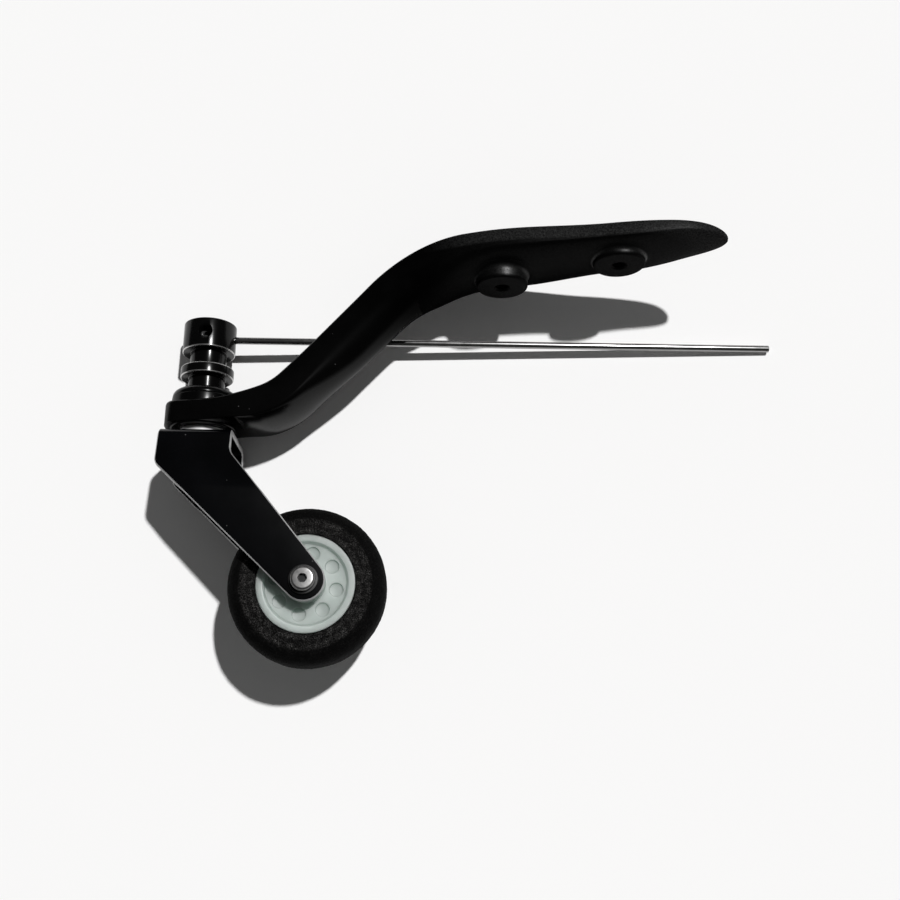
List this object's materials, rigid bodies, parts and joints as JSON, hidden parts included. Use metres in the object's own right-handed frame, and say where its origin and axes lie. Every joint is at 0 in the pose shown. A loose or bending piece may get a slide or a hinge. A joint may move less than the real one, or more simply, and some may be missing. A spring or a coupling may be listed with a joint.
{
  "type": "tailwheel assembly",
  "caption": "Model-aircraft tailwheel: S-shaped moulded arm with a bolt-on pad, swivelling sheet fork, foam-tyred wheel on a bolt axle, and a turned steering head with a straight wire.",
  "frame": {"origin": "on the mounting face, midway between the two mounting holes", "axes": "+Z out of the mounting face towards the aircraft, +X from the swivel axis towards the arm's tip (forward), +Y to the aircraft's left"},
  "size_m": [0.2022, 0.0593, 0.1344],
  "materials": {
    "arm_moulding": "satin black moulded fibre-filled nylon with a fine grain",
    "bronze": "sintered bronze",
    "bright_steel": "bright turned steel",
    "black_anodised": "glossy black anodised, with bright edges",
    "fork_coat": "glossy black coat on folded sheet, bare cut edges",
    "bolt_steel": "plain steel fastener",
    "blackened_steel": "blackened steel",
    "music_wire": "drawn spring steel",
    "white_nylon": "translucent white nylon",
    "insert_nylon": "nylon locking ring",
    "foam_rubber": "closed-cell foam rubber with ground sidewalls"
  },
  "bodies": {
    "arm_body": {"arm": "arm_moulding", "upper_bush": "bronze", "lower_bush": "bright_steel", "domed_washer": "black_anodised"},
    "swivel": {"thrust_washer": "bright_steel", "fork": "fork_coat", "pivot_bolt": "bolt_steel", "pivot_lock_washer": "bolt_steel", "steering_head": "black_anodised", "wire_set_screw": "blackened_steel", "shaft_set_screw": "blackened_steel", "steering_wire": "music_wire", "axle_bolt": "bolt_steel", "axle_bolt_washer": "blackened_steel", "near_spacer": "white_nylon", "far_spacer": "white_nylon", "axle_nut": "bolt_steel", "axle_nut_insert": "insert_nylon", "axle_nut_washer": "blackened_steel"},
    "wheel": {"hub": "white_nylon", "hub_bush": "bronze", "tyre": "foam_rubber"}
  },
  "joints": [
    {"name": "fork_swivel", "type": "hinge", "parent": "arm_body", "child": "swivel", "pos_m": [-0.1195, 0, -0.06], "axis": [0, 0, 1], "range_deg": [0, 335]},
    {"name": "wheel_spin", "type": "hinge", "parent": "swivel", "child": "wheel", "pos_m": [-0.08338, 0.00801, -0.1094], "axis": [-0.2164, 0.9763, 0], "continuous": true}
  ]
}
